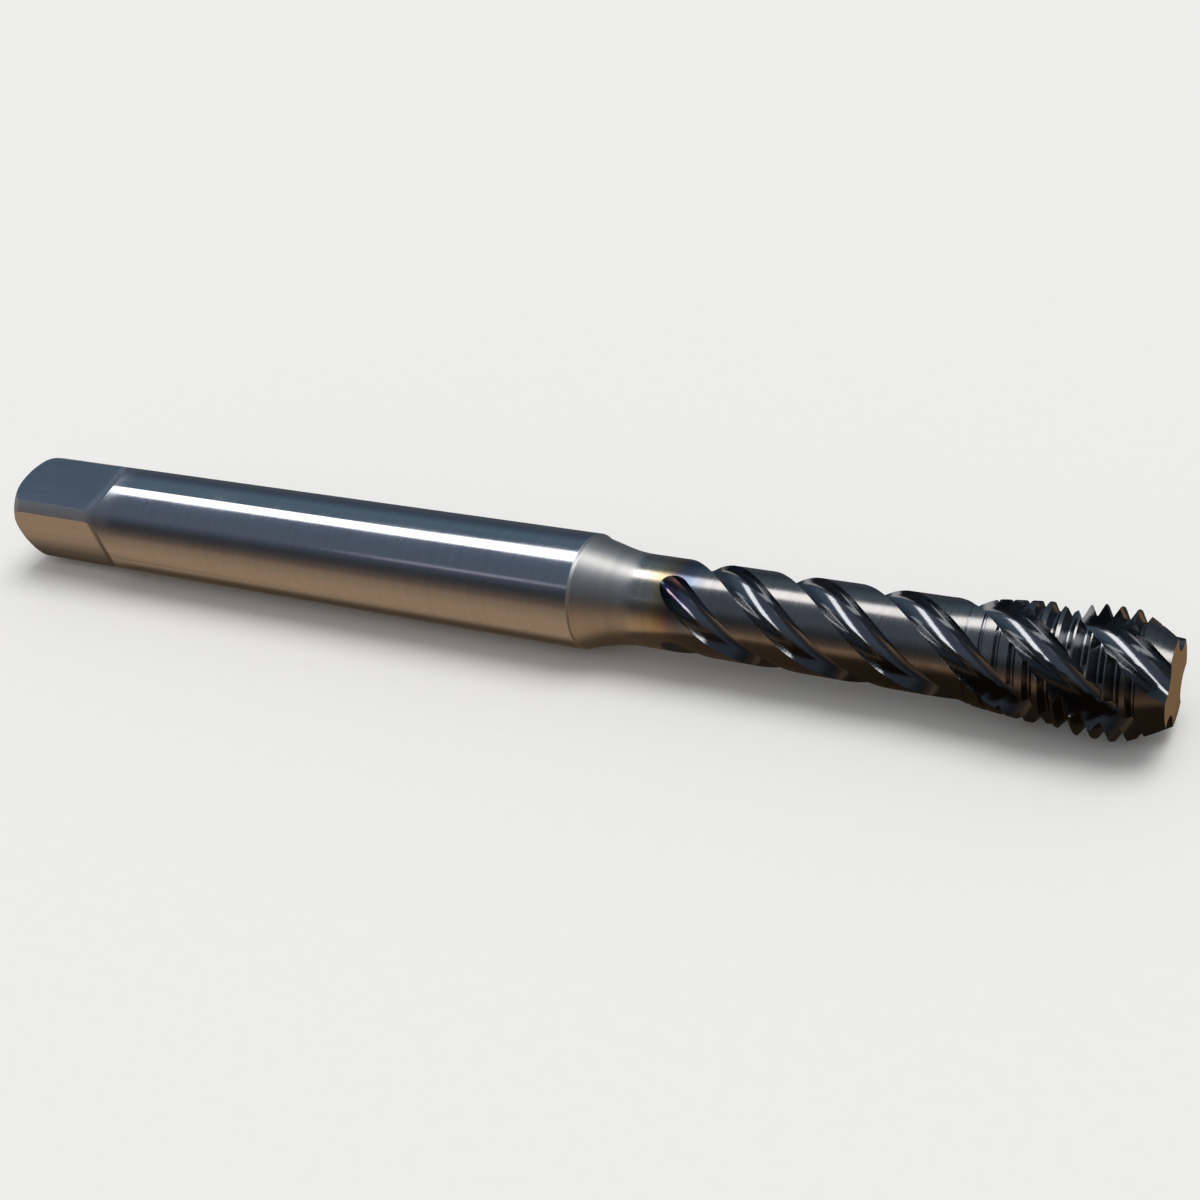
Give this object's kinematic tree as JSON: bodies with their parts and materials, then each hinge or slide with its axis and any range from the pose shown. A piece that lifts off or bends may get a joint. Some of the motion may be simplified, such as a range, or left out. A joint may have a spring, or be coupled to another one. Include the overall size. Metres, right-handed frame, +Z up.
{
  "type": "spiral flute tap",
  "caption": "Machine tap for cutting internal threads, made in one piece: round shank with a square drive end, slim neck, helical flutes and a tapered lead.",
  "frame": {"origin": "on the surface that the tap lies on, under the middle of its length", "axes": "+X along the tap's axis from the drive square to the cutting tip, +Z up"},
  "size_m": [0.0904, 0.008, 0.008],
  "materials": {
    "tool_steel": "ground bright on the shank and square, dark grey coating on the flutes and thread, straw to blue temper tint where they meet"
  },
  "bodies": {
    "root": {"tap": "tool_steel"}
  },
  "joints": []
}
